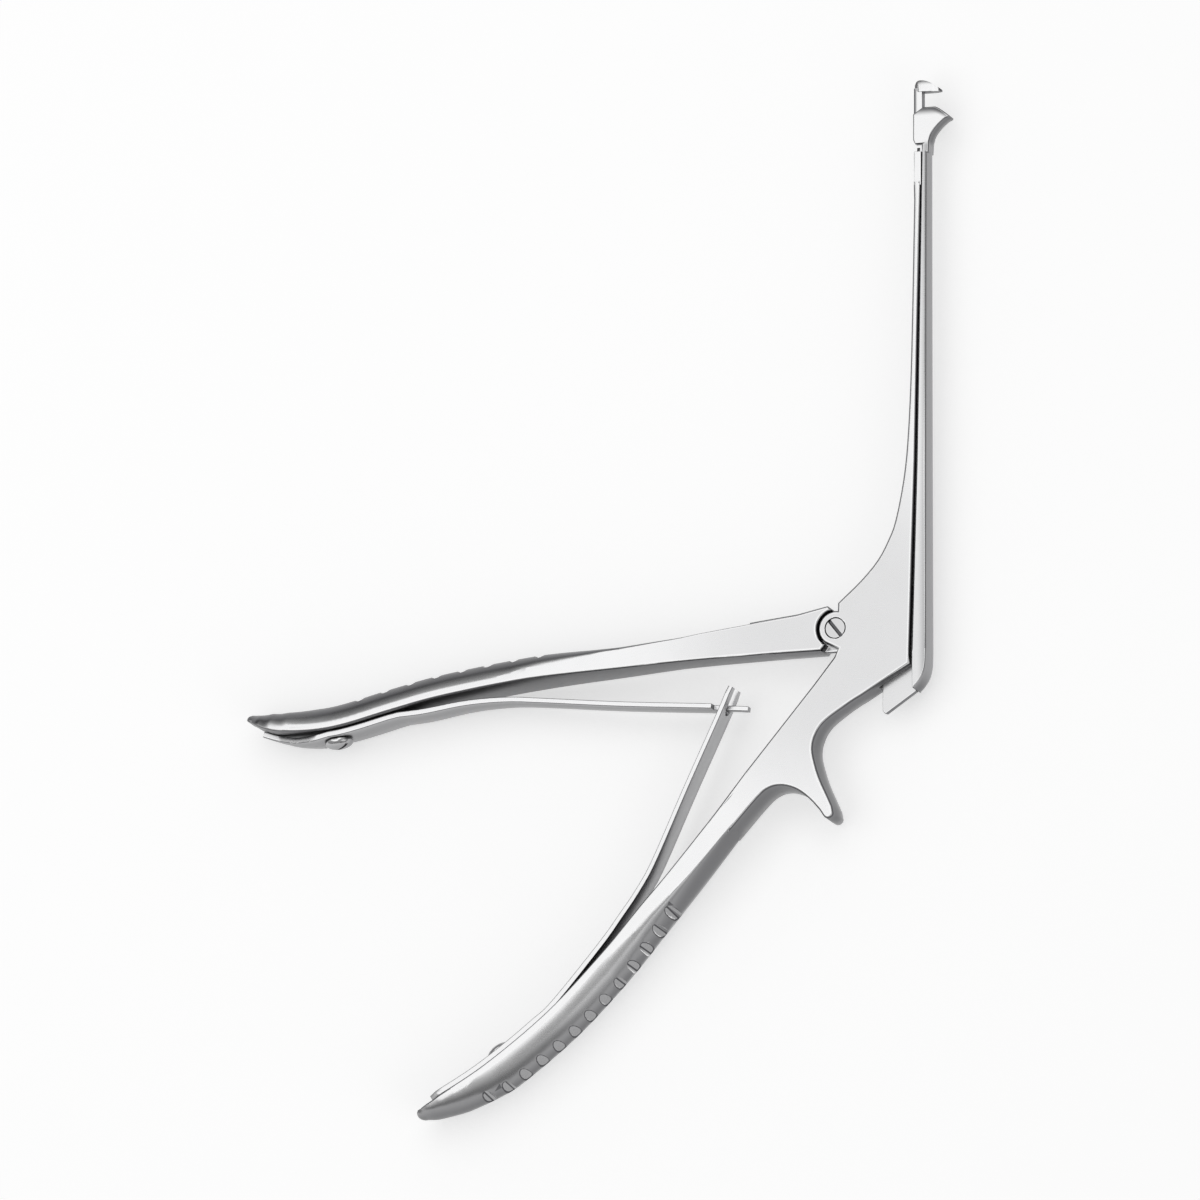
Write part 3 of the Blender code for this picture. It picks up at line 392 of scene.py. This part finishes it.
def markFinishes(bm, bends, width, isGrip):  # the hollows of a grip, then the chamfers beside square faces
    for edge, bend in bends.items():
        inHollow = mending["hollowBend"][0] < bend < mending["hollowBend"][1]
        if isGrip and inHollow and (edge.verts[0].co - Vector(pivot)).length > mending["gripFrom"]:
            for face in edge.link_faces:
                face.material_index = 2
    flatter, steeper = mending["chamferLean"]
    for edge, bend in bends.items():
        if bend > mending["chamferBend"]:
            for face, other in zip(edge.link_faces, reversed(edge.link_faces)):
                square = abs(other.normal.z) > mending["level"] or abs(other.normal.z) < mending["upright"]
                leans = flatter < abs(face.normal.z) < steeper
                if square and leans and width[face] < mending["chamferWidth"] and face.material_index == 0:
                    face.material_index = 1


def shadedNormals(bm):
    # Each corner's normal: the mean, by area, of the broad faces at it that stand within reach of its own
    # face, leaning towards a chamfer that meets it there. A chamfer and its margin so turn as a rounding
    kin = {0: (0,), 1: (0, 2, 3), 2: (2, 3), 3: (2, 3)}  # the finishes whose normals each finish takes
    none = Vector((0, 0, 0))
    normals = []
    for face in bm.faces:
        reach = mending["normalReach"]["chamfer" if face.material_index == 1 else "broad"]
        limit = math.cos(math.radians(reach))
        for loop in face.loops:
            near = [other for other in loop.vert.link_faces if other.normal.dot(face.normal) > limit]
            total = none
            for kinds in (kin[face.material_index], (1,)):
                if total.length == 0:
                    total = sum((other.normal * other.calc_area() for other in near
                                 if other.material_index in kinds), none)
            total = total.normalized()
            if face.material_index < 2:
                lean = sum((other.normal for other in loop.vert.link_faces if other.material_index == 1
                            and other.normal.dot(face.normal) > mending["leanFrom"]), none)
                total = total + lean.normalized() * mending["normalLean"]
            normals.append((total if total.length > 0 else face.normal).normalized())
    return normals


def mergedCopy(node, facts):
    # The imported node's loose triangles, merged and paired. Faces get the place of their finish: 0 satin,
    # with painted shade by tilt; 1 a painted highlight for chamfers and softened edges; 2 gouged for hollow
    # strips, painted darker with a painted glint; 3 the lip round those, painted dark as shade
    bm = bmesh.new()
    bm.from_mesh(frame["nodes"][node].data)
    bmesh.ops.remove_doubles(bm, verts=bm.verts[:], dist=mending["merge"])
    bmesh.ops.dissolve_degenerate(bm, dist=mending["short"], edges=bm.edges[:])
    bmesh.ops.join_triangles(bm, faces=bm.faces[:], angle_face_threshold=math.radians(mending["plane"]),
                             angle_shape_threshold=math.pi)
    bends = {edge: math.degrees(edge.calc_face_angle_signed(0.0)) for edge in bm.edges}
    width = {face: face.calc_area() / max(edge.calc_length() for edge in face.edges) for face in bm.faces}
    markFinishes(bm, bends, width, "grip" in facts)
    sharp = [edge for edge, bend in bends.items() if abs(bend) > mending["sharp"]
             and min(width[face] for face in edge.link_faces) > mending["softRoom"] * facts["soft"]
             and not any(face.material_index for face in edge.link_faces)]
    bmesh.ops.bevel(bm, geom=sharp, offset=facts["soft"], segments=mending["softSegments"], profile=0.5,
                    affect="EDGES", clamp_overlap=True, material=1)
    bm.edges.index_update()
    levelPatches(bm, facts["margin"])
    bm.verts.index_update()
    if "grip" in facts:
        gougePatches(bm)
    made = bpy.data.meshes.new(facts["piece"])
    bm.normal_update()
    bm.to_mesh(made)
    made.shade_smooth()
    made.normals_split_custom_set(shadedNormals(bm))
    bm.free()
    for key in [layer.name for layer in made.uv_layers]:
        made.uv_layers.remove(made.uv_layers[key])
    piece = bpy.data.objects.new(facts["piece"], made)
    bpy.context.scene.collection.objects.link(piece)
    return piece


footTop = reachOf("frame", 0, 1)
neckLeft = reachOf("frame", -1, 0, 0, footTop - 8 * mm)
punchFrame = {
    "piece": "punchFrame", "body": "frame", "turn": 51, "grip": True, "slot": "satin_steel",
    "soft": 0.10 * mm, "margin": 0.4 * mm,  # softening of its edges, margins of its level faces
    "look": dict(satinAndShadeLook, shadeBands=(  # painted shade: dark bands at the foot's crown and the left of the neck
        {"way": (0, 1, 0), "band": (footTop - 1.2 * mm, footTop + 0.1 * mm), "tone": 0.13,
         "heights": everywhere},
        {"way": (-1, 0, 0), "band": (neckLeft - 0.85 * mm, neckLeft - 0.1 * mm), "tone": 0.10,
         "heights": (footTop - 12 * mm, 1.0)})),
}

headTop, headCorner = reachOf("slide", 0, 1), reachOf("slide", 0.5, 0.866)
slidingBar = {
    "piece": "slidingBar", "body": "slide", "turn": 90, "slot": "satin_steel",
    "soft": 0.08 * mm, "margin": 0.2 * mm,
    "look": dict(satinAndShadeLook, upLeftShadeFrom=(0.30, 0.70), slope=0.42, shadeBands=(  # painted shade: darker bands on the bar's near side and the head's crown
        {"way": (1, 0, 0), "band": (pivot[0] + 19.0 * mm, pivot[0] + 22.0 * mm), "tone": 0.36,
         "heights": (-1.0, headTop - 7.5 * mm)},
        {"way": (0, 1, 0), "band": (headTop - 2.1 * mm, headTop - 0.3 * mm), "tone": 0.15,
         "heights": everywhere},
        {"way": (0.5, 0.866, 0), "band": (headCorner - 1.5 * mm, headCorner - 0.3 * mm), "tone": 0.15,
         "heights": everywhere})),
}

rearHandle = {
    "piece": "rearHandle", "body": "rear_handle", "turn": 4, "grip": True, "slot": "satin_steel",
    "soft": 0.10 * mm, "margin": 0.4 * mm, "look": dict(satinAndShadeLook, upLeftShadeFrom=(0.10, 0.45)),
}

screwTop = reachOf("pivot_screw", 0, 0, 1)
pivotScrew = {
    "piece": "pivotScrew", "body": "frame", "turn": 0, "slot": "polished_steel", "soft": 0.08 * mm,
    "margin": 0.2 * mm,
    "look": dict(screwLook, shadeBands=(  # painted shade: the slot is painted dark
        {"way": (0, 0, -1), "band": (0.2 * mm - screwTop, 0.6 * mm - screwTop), "tone": 0.12,
         "heights": everywhere},)),
}
frontLeafScrew = dict(pivotScrew, piece="frontLeafScrew", look=screwLook)
rearLeafScrew = dict(frontLeafScrew, piece="rearLeafScrew", body="rear_handle")

# A leaf's seat on its own handle and its tip, which lies halfway between the handles' motions, are given, but
# nothing
# bends it: its mesh is baked in place and hung on no body
frontLeaf = {
    "piece": "frontLeaf", "turn": 60, "slot": "satin_steel", "soft": 0.08 * mm, "margin": 0.2 * mm,
    "look": leafLook, "bend": ("frame", "rear_handle"), "seat": (-55.1, -69.25), "tip": (-24.75, -11.7),
}
rearLeaf = {
    "piece": "rearLeaf", "turn": 0, "slot": "satin_steel", "soft": 0.08 * mm, "margin": 0.2 * mm,
    "look": dict(leafLook, wall=0.30), "bend": ("rear_handle", "frame"), "seat": (-97.0, -12.85),
    "tip": (-21.3, -16.65),
}

pieces = {
    "frame": punchFrame, "slide": slidingBar, "rear_handle": rearHandle, "pivot_screw": pivotScrew,
    "front_spring_screw": frontLeafScrew, "rear_spring_screw": rearLeafScrew, "front_leaf_spring": frontLeaf,
    "rear_leaf_spring": rearLeaf,
}
for node, facts in pieces.items():
    piece = mergedCopy(node, facts)
    looks = {"steel_": facts["look"], "rim_": rimHighlightLook}
    if "grip" in facts:
        looks.update({"gouge_": gougeShadeLook, "lipShade_": lipShadeLook})
    for part, look in looks.items():
        piece.data.materials.append(steel(part + facts["piece"], facts["turn"], look))
    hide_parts(node)
    if "bend" in facts:
        seat, tip = np.array(fromPivot(*facts["seat"])), np.array(fromPivot(*facts["tip"]))
        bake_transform(piece)
    else:
        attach(piece, facts["body"])
    print("punch: piece", facts["piece"], len(piece.data.polygons), "faces")


studio = {"floor": 0.78, "floorGlow": 0.50, "world": 0.34, "reach": 12.0, "sheetDepth": 3.0,
          "sheetGlow": 0.97}
lamps = {  # size across and along, place, turn about the upright axis or None to aim at the middle, energy
    "overheadSoftbox": {"size": (1.36, 1.8), "place": (-0.256, 0.192, 1.0), "turn": -36.9, "energy": 4.8},
    "lowSoftbox": {"size": (0.9, 0.9), "place": (1.088, -0.816, 0.634), "turn": None, "energy": 1.7},
}


def levelSheet(name, height, material):
    half = studio["reach"]
    mesh = bpy.data.meshes.new(name)
    corners = [(x * half, y * half, height) for x, y in ((-1, -1), (1, -1), (1, 1), (-1, 1))]
    mesh.from_pydata(corners, [], [(0, 1, 2, 3)])
    mesh.materials.append(material)
    sheet = bpy.data.objects.new(name, mesh)
    bpy.context.scene.collection.objects.link(sheet)


paper = Finish("paleTable", metallic=0.0)
paper.shader.inputs["Roughness"].default_value = 0.9
paper.shader.inputs["Specular IOR Level"].default_value = 0.0
speck = paper.noise(paper.place(), 60, 3.0)
paper.feed(paper.shader.inputs["Base Color"], paper.scaled((studio["floor"],) * 3, 1 + speck * 0.01))
rays = [paper.node("ShaderNodeLightPath", output=kind) for kind in
        ("Is Camera Ray", "Is Glossy Ray", "Is Transmission Ray")]
seen = paper.sum("MINIMUM", rays[0] + rays[1] + rays[2], 1.0)  # the background's white, kept off the lighting
paper.feed(paper.shader.inputs["Emission Color"], paper.mix(seen, (0, 0, 0, 1), (1, 1, 1, 1)))
paper.shader.inputs["Emission Strength"].default_value = studio["floorGlow"]
levelSheet("table", 0, paper.material)

# A sheet far below the table, for low cameras whose picture reaches under it
white = Finish("whiteSheet", metallic=0.0)
white.shader.inputs["Emission Color"].default_value = (1, 1, 1, 1)
white.shader.inputs["Emission Strength"].default_value = studio["sheetGlow"]
levelSheet("sheetBelow", -studio["sheetDepth"], white.material)

world = bpy.data.worlds.new("studio")
bpy.context.scene.world = world
world.use_nodes = True
world.node_tree.nodes["Background"].inputs["Color"].default_value = (studio["world"],) * 3 + (1.0,)

for name, facts in lamps.items():
    lamp = bpy.data.lights.new(name, "AREA")
    lamp.shape = "RECTANGLE"
    lamp.size, lamp.size_y = facts["size"]
    lamp.energy = facts["energy"]
    hung = bpy.data.objects.new(name, lamp)
    hung.location = facts["place"]
    if facts["turn"] is None:  # a lamp shines down its own -Z, so its Z points away from the instrument
        hung.rotation_euler = Vector(facts["place"]).to_track_quat("Z", "Y").to_euler()
    else:
        hung.rotation_euler = (0, 0, math.radians(facts["turn"]))
    bpy.context.scene.collection.objects.link(hung)
print("punch: floor and lamps")

# The camera looks along the photograph's direction, and its view spans across pixels of the given size
view = {"toCamera": (0.29264, -0.22014, 0.93054), "pixel": 0.225 * mm, "across": 1200,
        "pivotPixel": (835.1, 628.0), "pivotHeight": 3.3, "distance": 1.6}
toCamera = Vector(view["toCamera"]).normalized()
right = Vector((0, 1, 0)).cross(toCamera).normalized()
upward = toCamera.cross(right)
half = view["across"] / 2
centre = (Vector(fromPivot(0, 0, view["pivotHeight"]))
          + right * (half - view["pivotPixel"][0]) * view["pixel"]
          + upward * (view["pivotPixel"][1] - half) * view["pixel"])
cameraData = bpy.data.cameras.new("photoCamera")
cameraData.type = "ORTHO"
cameraData.ortho_scale = view["across"] * view["pixel"]
camera = bpy.data.objects.new("photoCamera", cameraData)
turned = Matrix((right, upward, toCamera)).transposed().to_4x4()
camera.matrix_world = Matrix.Translation(centre + toCamera * view["distance"]) @ turned
bpy.context.scene.collection.objects.link(camera)
bpy.context.scene.camera = camera
bpy.context.scene.view_settings.view_transform = "Standard"

print("punch: finished")
